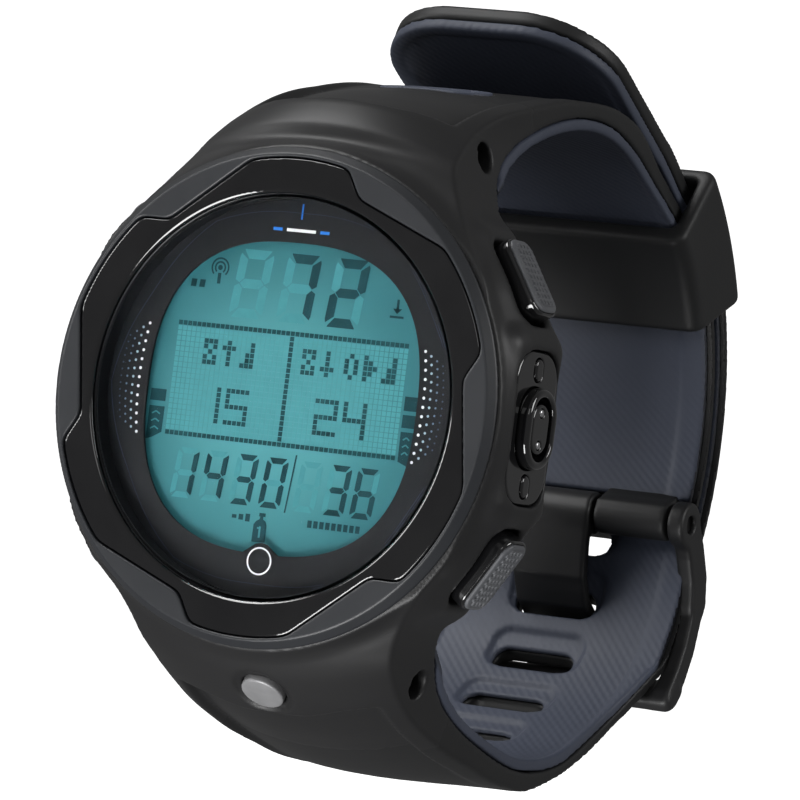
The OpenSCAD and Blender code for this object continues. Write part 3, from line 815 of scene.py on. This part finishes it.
DIMPLE_PITCH = 0.68
PAD_BACK, PAD_GROOVE, PAD_FRONT, PAD_TOP = 26.3, 26.5, 26.8, 27.0
HEAD_BACK, HEAD_FRONT = 24.2, 26.55
SHAFT_BACK, SHAFT_FRONT = 17.7, 24.9
SHAFT_R = 0.9


def make_button(side, angle):
    """A dimpled pad on a gloss head, and the shaft with its clip groove behind them."""
    body = "button_" + side
    c, s = cos_sin(angle)

    def turn(v, out, up):
        x = v[:, 0] + out
        return np.stack([x * c - v[:, 1] * s, x * s + v[:, 1] * c, v[:, 2] + up], 1)

    def place(points, normals):
        return turn(points, proud(angle), BUTTON_Z), turn(normals, 0, 0)

    def place_shaft(points, normals):
        return turn(points, 0, BUTTON_Z), turn(normals, 0, 0)

    b = Block((22.8, -4.8, -3.2), (27.6, 4.8, 3.2), 0.1)
    flat = oblong(b.y, b.z, 3.9, 2.1, 1.3)
    pad = thick(flat, b.x, PAD_BACK, PAD_FRONT, 0.2)
    u = np.mod(b.y, DIMPLE_PITCH) - DIMPLE_PITCH / 2
    v = np.mod(b.z + DIMPLE_PITCH / 2, DIMPLE_PITCH) - DIMPLE_PITCH / 2
    raised = meet(meet(-oblong(u, v, 0.2, 0.2, 0.05), flat + 0.55), b.x - PAD_TOP)
    pad = join(pad, meet(raised, PAD_GROOVE - b.x), 0.08)
    surface("pad_" + side, b, pad, PAD_GREY, "button_pad_" + side, body, place)
    head = thick(oblong(b.y, b.z, 4.15, 2.45, 1.55), b.x, HEAD_BACK, HEAD_FRONT, 0.3)
    head = cut(head, thick(flat - 0.04, b.x, PAD_BACK - 0.05, 30), 0.08)
    surface("head_" + side, b, head, GLOSS, "button_stem_" + side, body, place)
    b = Block((17.2, -2, -2), (25.2, 2, 2), 0.1)
    r = far(b.y, b.z)
    shaft = thick(r - SHAFT_R, b.x, SHAFT_BACK, SHAFT_FRONT, 0.1)
    groove = meet(thick(r - 3.0, b.x, 19.42, 19.98), 0.75 - r)
    surface("shaft_" + side, b, cut(shaft, groove), GLOSS, None, body, place_shaft)


STUD_Y, PIN_APART = 5.6, 1.55


def make_port():
    b = Block((22.6, -8.2, -13), (26.4, 8.2, -2), 0.12)
    y, z = b.y, b.z - PORT_Z
    low = PORT_SEAT + 0.05
    plate = thick(oblong(y, z, 7.4, 4.3, 3.1), b.x, low, PORT_FACE, 0.3)
    plate = cut(plate, thick(oblong(y, z, 4.0, 3.05, 2.95), b.x, 20, 40), 0.2)
    ring = thick(oblong(y, z, 3.9, 2.95, 2.9), b.x, low, PORT_FACE + 1.2, 0.42)
    ring = cut(ring, thick(oblong(y, z, 3.05, 2.1, 2.05), b.x, low + 0.6, 40), 0.3)
    island = thick(oblong(y, z, 2.45, 1.75, 1.7), b.x, low, PORT_FACE + 0.95, 0.25)
    pins, studs = 50, 50
    for s in (1, -1):
        hole = oblong(y - s * STUD_Y, z, 1.2, 0.9, 0.85)
        plate = cut(plate, thick(hole, b.x, low + 0.6, 40), 0.1)
        contact = far(y - s * PIN_APART, z)
        island = cut(island, contact - 0.48, 0.08)
        pins = np.minimum(pins, thick(contact - 0.4, b.x, low, PORT_FACE + 1.0, 0.15))
        stud = oblong(y - s * STUD_Y, z, 1.08, 0.78, 0.74)
        studs = np.minimum(studs, thick(stud, b.x, low, PORT_FACE + 0.15, 0.25))
    surface("port_face", b, plate, GLOSS, "port_plate")
    surface("port_rim", b, ring, GLOSS, "port_ring")
    surface("port_island", b, island, GLOSS, "port_insulator")
    surface("port_pins", b, pins, STEEL, "port_contacts")
    surface("port_stud_pair", b, studs, GLOSS, "port_studs")


# ------------ keeper and buckle

KEEPER_ANGLE = 38.15
KEEPER_HALF = 7.1        # half its length along the strap
TANG_HALF = 4.2


def make_keeper():
    b = Block((-16, 10, -74), (16, 36, -52), 0.3)
    angle, radius = loop_place(b)
    along = np.radians(angle - KEEPER_ANGLE) * LONG_R
    flat = oblong(b.x, radius - 30.6, 15.0, 5.4, 1.6)
    hole = oblong(b.x, radius - 30.87, 13.3, 3.55, 0.7)
    body = cut(meet(flat, np.abs(along) - KEEPER_HALF, 0.9), hole, 0.6)
    surface("keeper_loop", b, body, STRAP_BLACK, "keeper", "keeper")


def make_buckle():
    b = Block((-16.2, -30, -72), (16.2, -2, -60), 0.25)
    pin = from_buckle_pin(b)
    upper = [(-6.5, -64.9), (-9.2, -66.9), (-12, -68.4), (-14.5, -68.9)]
    lower = [(-12, -68.4), (-15.5, -68.9), (-19.5, -68.0), (-22.4, -66.7), (-24.4, -65.3)]
    arm = join(path_distance(b, upper) - 1.75, path_distance(b, lower) - 1.3, 0.6)
    side = np.abs(np.abs(b.x) - 14.33) - 0.95
    arms = meet(join(arm, pin - 2.35, 0.6), side, 0.45)
    along, out = turned(b, -45)
    bar = rounded_box(b.x, along, out - 38.3, (15.25, 1.7, 0.9), 0.6)
    body = cut(join(arms, bar, 0.8), pin - PIN_BORE)
    surface("buckle_bow", b, body, BLACK, "buckle_frame", "buckle")


def make_tang():
    b = Block((-5, -28, -72.5), (5, -3, -60), 0.2)
    path = [(-6.5, -62.9), (-13.2, -63.6), (-16.0, -65.2), (-18.7, -69.2), (-21.1, -70.5),
            (-26.3, -68.2)]
    plate = meet(path_distance(b, path) - 0.68, np.abs(b.x) - TANG_HALF, 0.45)
    pin = from_buckle_pin(b)
    body = join(plate, meet(pin - 2.32, np.abs(b.x) - TANG_HALF, 0.4), 0.5)
    surface("tang_tongue", b, cut(body, pin - PIN_BORE), BLACK, "buckle_tang", "tang")


# ------------ water contact

def make_contact():
    b = Block((-3, -32, -9), (3, -25.5, -2.5), 0.12)
    up, flat = from_contact(b)
    cap = meet(flat - 2.2, up - 0.2 + flat ** 2 * 0.035, 0.2)
    surface("contact_cap", b, meet(cap, -1.2 - up), GREY_METAL, "water_contact")


# ------------ display

PANEL_TOP = -2.35        # front of the liquid-crystal panel
LIT_TOP, UNLIT_TOP = PANEL_TOP + 0.026, PANEL_TOP + 0.006
PRINT_TOP = -1.53        # front of the dark print, just behind the lens
PRINT_R = 19.3
DOTS_TOP = PRINT_TOP - 0.008
LEAF = 0.015             # thickness of every printed or etched mark
WINDOW = (14.9, 15.1)    # half width and half height of the window in the print
WINDOW_POWER = 2.6
RISE_R, RISE_Y = 1.75, -15.75            # the small rise in its lower edge


def around(r, turns, x=0.0, y=0.0):
    """Points round a centre."""
    return [(x + r * cos(t), y + r * sin(t)) for t in turns]


class Marks:
    """Flat marks in the plane of the display, made into one thin piece."""

    def __init__(self, name, height, m, slot="mask"):
        self.name, self.height, self.look = name, height, (m, slot)
        self.points, self.faces = [], []

    def shape(self, points):
        start, n = len(self.points), len(points)
        for lift in (0, LEAF):
            self.points += [(x, y, self.height + lift) for x, y in points]
        low, high = range(start, start + n), range(start + n, start + 2 * n)
        self.faces += [tuple(high), tuple(reversed(low))]
        self.faces += [(low[i - 1], low[i], high[i], high[i - 1]) for i in range(n)]

    def bar(self, x, y, w, h, slant=0.0):
        self.shape([(x + i * w / 2 + j * slant * h / 2, y + j * h / 2)
                    for i, j in ((-1, -1), (1, -1), (1, 1), (-1, 1))])

    def dot(self, x, y, r, sides=12):
        self.shape(around(r, [2 * pi * i / sides for i in range(sides)], x, y))

    def line(self, points, width):
        """A stroke along a path, made of separate straight runs."""
        for (x0, y0), (x1, y1) in zip(points, points[1:]):
            length = hypot(x1 - x0, y1 - y0)
            u, v = (x1 - x0) / length * width / 2, (y1 - y0) / length * width / 2
            self.shape([(x0 + v, y0 - u), (x1 + v, y1 - u), (x1 - v, y1 + u), (x0 - v, y0 + u)])

    def arc(self, x, y, r, width, start, end, steps=18):
        turns = [radians(start + (end - start) * i / steps) for i in range(steps + 1)]
        self.line(around(r, turns, x, y), width)

    def make(self):
        new_piece(self.name, self.points, self.faces, *self.look)


LEAN = 0.1
LIT = {"0": "abcdef", "1": "bc", "2": "abged", "3": "abgcd", "4": "fgbc", "6": "afgedc", "7": "abc"}


def strokes(w, h, t, gap):
    """The seven strokes of an upright digit, its lower left corner at the origin."""
    m, k = h / 2, t / 2
    top = [(gap + k * 0.6, h), (w - gap - k * 0.6, h), (w - gap - t * 0.35, h - t * 0.15),
           (w - t - gap, h - t), (t + gap, h - t), (gap + t * 0.35, h - t * 0.15)]
    right = [(w - t * 0.12, h - gap - t * 0.35), (w, h - gap - t * 0.7), (w, m + gap + k * 0.5),
             (w - k, m + gap * 0.6), (w - t, m + k + gap * 0.4), (w - t, h - t - gap)]
    middle = [(k + gap, m), (t + gap * 0.6, m + k), (w - t - gap * 0.6, m + k),
              (w - k - gap, m), (w - t - gap * 0.6, m - k), (t + gap * 0.6, m - k)]

    def upside_down(points):
        return [(x, h - y) for x, y in reversed(points)]

    left = [(w - x, y) for x, y in reversed(right)]
    return {"a": top, "d": upside_down(top), "b": right, "c": upside_down(right),
            "f": left, "e": upside_down(left), "g": middle}


def digit(lit, unlit, text, x, y, w, h, t):
    """A leaning digit, its lit and unlit strokes in two sets of marks."""
    for name, points in strokes(w, h, t, 0.1).items():
        marks = lit if name in LIT.get(text, "") else unlit
        marks.shape([(x + u + LEAN * v, y + v) for u, v in points])


# Dot matrix, and the pictures on it by column and row
GRID_LEFT, GRID_TOP = -12.5, 6.37
GRID_ACROSS, GRID_DOWN = 0.523, 0.5127
GRID_DOT = 0.44
COLUMNS, ROWS, DIVIDER = 49, 22, 24
HOURGLASS = ("###", "#.#", ".#.", "#.#", "###")
STAIRS = ("..#", "..#", ".##", ".##", "###")
PICTURES = {
    (6, 3): HOURGLASS,
    (10, 3): (".#.", "###", ".#.", ".#.", ".#."),
    (14, 3): STAIRS,
    (27, 3): HOURGLASS,
    (31, 3): (".#.", ".#.", ".#.", "###", ".#."),
    (36, 3): (".#.", "#.#", "#.#", "#.#", ".#."),
    (40, 3): ("#..", "##.", "###", "##.", "#.."),
    (44, 3): STAIRS,
    (10, 12): ("#", "#", "#", "#", "#", "#", "#"),
    (12, 12): ("#####", "#....", "#....", "#####", "....#", "....#", "#####"),
    (31, 12): ("#####", "....#", "....#", "#####", "#....", "#....", "#####"),
    (37, 12): ("#...#", "#...#", "#...#", "#####", "....#", "....#", "....#"),
}


def matrix(lit, faint):
    """The dot-matrix field with its ruled lines and pictures."""
    on = {(i, j) for i in range(COLUMNS) for j in (0, ROWS - 1)}
    on |= {(DIVIDER, j) for j in range(ROWS)}
    for (column, line), rows in PICTURES.items():
        on |= {(column + i, line + j) for j, r in enumerate(rows)
               for i, c in enumerate(r) if c == "#"}
    for i in range(COLUMNS):
        for j in range(ROWS):
            marks = lit if (i, j) in on else faint
            marks.bar(GRID_LEFT + GRID_ACROSS * i, GRID_TOP - GRID_DOWN * j, GRID_DOT, GRID_DOT)


def tank(lit, inner):
    """Gas cylinder with its valve and a number on it."""
    lit.shape([(-1.62, -14.0), (-0.14, -13.95), (-0.16, -12.3), (-0.3, -11.95), (-0.62, -11.75),
               (-0.62, -11.5), (-0.4, -11.5), (-0.4, -11.15), (-1.1, -11.15), (-1.1, -11.5),
               (-0.96, -11.5), (-1.0, -11.75), (-1.35, -11.95), (-1.6, -12.3)])
    inner.bar(-0.86, -13.0, 0.2, 1.1)
    inner.bar(-1.02, -12.62, 0.26, 0.16)


def antenna(lit, x, y):
    lit.dot(x, y, 0.26)
    lit.arc(x, y, 0.55, 0.17, -50, 230)
    lit.arc(x, y, 0.92, 0.17, -45, 225)
    lit.bar(x, y - 1.05, 0.36, 1.05)


def side_tags(lit, inner):
    """Dark blocks at both edges of the window, with plain notches in place of words."""
    lit.bar(-14.0, -0.9, 1.72, 1.16)
    lit.shape([(-14.83, -2.0), (-14.83, -5.3), (-14.2, -5.1), (-13.14, -4.5), (-13.12, -2.0)])
    lit.bar(13.85, 0.88, 1.46, 1.38)
    lit.bar(13.85, -0.82, 1.5, 1.25)
    lit.shape([(13.1, -1.83), (13.15, -4.7), (14.3, -5.15), (14.8, -5.3), (14.8, -1.83)])
    for k in range(3):
        for x, half, y in ((-14.0, 0.45, -2.75 - 0.75 * k), (13.8, 0.35, -2.6 - 0.7 * k)):
            inner.line([(x - half, y), (x, y + 0.25), (x + half, y)], 0.14)


def make_panel_marks():
    lit = Marks("lcd_figures", LIT_TOP, INK, "lcd")
    soft = Marks("lcd_matrix", LIT_TOP, INK_SOFT, "lcd")
    unlit = Marks("lcd_ghosts", UNLIT_TOP, GHOST, "lcd")
    faint = Marks("lcd_grid", UNLIT_TOP, FAINT, "lcd")
    inner = Marks("lcd_notches", PANEL_TOP + 0.03 + LEAF, LCD, "lcd")
    for text, x in (("", -7.4), ("7", -2.12), ("2", 3.25)):
        digit(lit, unlit, text, x, 7.4, 3.76, 6.7, 0.92)
    for text, x in (("1", -11.4), ("4", -8.1), ("3", -4.75), ("0", -1.45),
                    ("", 2.35), ("3", 5.56), ("6", 8.62)):
        digit(lit, unlit, text, x, -10.6, 2.42, 4.9, 0.58)
    lit.line([(1.62, -10.86), (2.16, -5.22)], 0.16)
    matrix(soft, faint)
    tank(lit, inner)
    antenna(lit, -8.87, 12.04)
    side_tags(lit, inner)
    for i in range(2):
        lit.bar(-11.6 + 0.95 * i, 10.35, 0.6, 0.75, 0.1)
    lit.bar(11.1, 9.0, 1.5, 0.22)
    lit.bar(11.1, 10.15, 0.26, 1.1)
    lit.shape([(10.6, 9.8), (11.1, 9.3), (11.6, 9.8)])
    for i in range(3):
        lit.bar(-3.85 + 0.75 * i, -11.75, 0.5, 0.35 + 0.2 * i)
    for i in range(9):
        lit.bar(4.5 + 0.66 * i, -11.65, 0.46, 0.7)
    for marks in (lit, soft, unlit, faint, inner):
        marks.make()


def window_points(steps=144):
    """The barrel-shaped window in the print, with its small rise."""
    points = []
    for i in range(steps):
        t = 2 * pi * i / steps
        c, s = cos(t), sin(t)
        k = abs(c / WINDOW[0]) ** WINDOW_POWER + abs(s / WINDOW[1]) ** WINDOW_POWER
        k **= -1 / WINDOW_POWER
        x, y = k * c, k * s
        if y < 0 and abs(x) < RISE_R:
            y = max(y, RISE_Y + sqrt(RISE_R ** 2 - x * x))
        points.append((x, y))
    return points


def make_print():
    """Dark print behind the lens, with its window and a rim up its edge."""
    inner = window_points()
    n = len(inner)
    turns = [atan2(y, x) for x, y in inner]
    outer = around(PRINT_R, turns)
    points = [(x, y, z) for z in (PRINT_TOP - 0.03, PRINT_TOP - 0.01) for x, y in inner + outer]
    points += [(x, y, z) for z in (PRINT_TOP - 0.01, 0.6)
               for x, y in outer + around(PRINT_R + 0.04, turns)]
    # each strip of faces runs between two of the eight rings of points
    strips = (2, 3), (1, 0), (0, 2), (3, 1), (6, 4), (5, 7), (7, 6), (4, 5)
    faces = [(p * n + i, q * n + i, q * n + (i + 1) % n, p * n + (i + 1) % n)
             for p, q in strips for i in range(n)]
    new_piece("lens_print", points, faces, MASK, "mask")


def make_print_marks():
    """Two fields of dots that fade outwards, the ring, the index lines and a faint hexagon."""
    fade = [Marks("print_dots_%d" % c, DOTS_TOP, m)
            for c, m in enumerate((WHITE_DOT, PALE_DOT, BLUE_DOT, DIM_DOT))]
    for column, marks in enumerate(fade):
        pitch = 0.888 - 0.0725 * column
        for side in (-1, 1):
            x = side * (15.74 + 0.68 * column) - 0.19
            middle = 0.59 - 0.02 * column if side < 0 else 0.69 + 0.025 * column
            for k in range(-6, 7):
                bow = 0.45 * (k / 6) ** 2 * side
                marks.dot(x - bow, middle + pitch * k, 0.155 - 0.022 * column, 8)
        marks.make()
    white = Marks("print_ring", DOTS_TOP, WHITE_DOT)
    white.arc(-0.05, -15.78, 1.28, 0.16, 0, 360, 40)
    white.bar(0, 16.3, 3.2, 0.3)
    white.make()
    blue = Marks("print_index", DOTS_TOP, BLUE_TICK)
    blue.bar(-0.12, 18.14, 0.17, 1.52)
    blue.bar(-2.6, 16.3, 1.0, 0.3)
    blue.bar(2.6, 16.3, 1.0, 0.3)
    blue.make()
    lines = Marks("print_lines", DOTS_TOP, BLUE_LINE)
    hexagon = smooth_curve([(0, 19.0), (15, 18.4), (30, 18.0), (45, 18.4), (60, 19.0)])
    for start in range(60, 420, 60):
        turns = [radians(start + t) for t in range(0, 61, 4)]
        radii = [float(hexagon(t)) for t in range(0, 61, 4)]
        lines.line([around(r, [t])[0] for r, t in zip(radii, turns)], 0.05)
    lines.make()


# ------------ stage

def make_stage():
    """A wide pale floor that turns up into a wall all round."""
    low, reach, rise, bend, turns = -0.06, 3.0, 4.0, 0.8, 64
    profile = [(0.0, low)] + [(reach - bend + bend * sin(radians(a)),
                               low + bend - bend * cos(radians(a)))
                              for a in range(0, 91, 6)] + [(reach, rise)]
    angles = [2 * pi * t / turns for t in range(turns)]
    points = [(x, y, z) for d, z in profile for x, y in around(d, angles)]
    faces = [(i * turns + t, i * turns + (t + 1) % turns, (i + 1) * turns + (t + 1) % turns,
              (i + 1) * turns + t) for i in range(len(profile) - 1) for t in range(turns)]
    mesh = bpy.data.meshes.new("floor")
    mesh.from_pydata(points, [], faces)
    mesh.validate()
    floor = put("floor", mesh)
    mesh.materials.append(floor_white())
    mesh.shade_smooth()
    # The white surroundings don't wash out the dark object
    floor.visible_diffuse = floor.visible_glossy = False
    floor.visible_transmission = floor.visible_shadow = False


# Soft lights round the object, aimed at it: place, size and power
LIGHTS = {"top": ((-0.4, -0.28, 0.68), 0.45, 5.5), "left": ((-0.78, -0.48, 0.2), 0.35, 3),
          "right": ((0.8, 0.1, 0.35), 0.4, 3.5), "low": ((-0.05, -0.55, -0.45), 0.4, 7),
          "front": ((0.35, -0.75, 0.3), 0.3, 0.45)}
WORLD_STRENGTH = 0.17


def make_lights():
    world = bpy.data.worlds.new("studio")
    bpy.context.scene.world = world
    world.use_nodes = True
    background = world.node_tree.nodes["Background"]
    background.inputs["Color"].default_value = (1, 1, 1, 1)
    background.inputs["Strength"].default_value = WORLD_STRENGTH
    for name, (place, size, power) in LIGHTS.items():
        data = bpy.data.lights.new(name, "AREA")
        data.size = size
        data.energy = power
        light = put(name, data)
        light.location = place
        light.rotation_euler = (-Vector(place)).to_track_quat("-Z", "Y").to_euler()


# The camera stands off the face's axis to the right and slightly low, and is rolled
CAMERA_AZ, CAMERA_EL, CAMERA_ROLL = 28.18, -1.58, 7.22
CAMERA_DISTANCE = 576.7
CAMERA_SIDE, CAMERA_UP = 12.14, -0.24
CAMERA_LENS = 270


def make_camera():
    a, e, r = (radians(v) for v in (CAMERA_AZ, CAMERA_EL, CAMERA_ROLL))
    back = Vector((sin(a) * cos(e), sin(e), cos(a) * cos(e)))
    right = Vector((0, 1, 0)).cross(back).normalized()
    up = back.cross(right)
    right, up = right * cos(r) + up * sin(r), up * cos(r) - right * sin(r)
    spot = right * CAMERA_SIDE + up * CAMERA_UP + back * CAMERA_DISTANCE
    axes = [Vector((v.x, -v.z, v.y)) for v in (right, up, back)]
    data = bpy.data.cameras.new("camera")
    data.lens = CAMERA_LENS
    data.sensor_width = 36
    data.clip_start = 0.01
    camera = put("camera", data)
    place = Matrix([[axes[j][i] for j in range(3)] for i in range(3)]).to_4x4()
    place.translation = Vector(row([spot])[0])
    camera.matrix_world = place
    bpy.context.scene.camera = camera


def dress(m, *nodes):
    """Gives CAD nodes a material."""
    for n in nodes:
        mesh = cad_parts[n].data
        mesh.materials.clear()
        mesh.materials.append(m)


bpy.context.scene.view_settings.view_transform = "Standard"
make_camera()
make_stage()
make_lights()
dress(LCD, "lcd_panel")
dress(MASK, "display_mask")
dress(GLASS, "lens")
dress(RED_SEAL, "hatch_o_ring", *["button_seal_" + s for s in BUTTONS])
dress(DARK_STEEL, "strap_pin_upper", "strap_pin_lower", "buckle_pin")
dress(STEEL, "battery", "pressure_sensor",
      *["button_clip_" + s for s in BUTTONS], *["button_spring_" + s for s in BUTTONS])
dress(BLACK, "battery_hatch", "hatch_ring")
dress(GREY_METAL, "sensor_cover")
dress(plain_plastic("milky_white", (0.7, 0.75, 0.74)), "backlight_panel", "module_frame")
dress(plain_plastic("board_green", (0.02, 0.1, 0.05), 0.35), "circuit_board")
dress(brushed_metal("brass", (0.6, 0.42, 0.18)), "buzzer", "battery_spring_contact",
      "battery_side_contact")
dress(brushed_metal("copper", (0.6, 0.26, 0.12)), "antenna_coil")
make_case()
make_bezel()
make_gasket()
make_long_strap()
make_short_strap()
make_inlay()
for button_side, button_turn in BUTTONS.items():
    make_button(button_side, button_turn)
make_port()
make_contact()
make_keeper()
make_buckle()
make_tang()
make_panel_marks()
make_print()
make_print_marks()
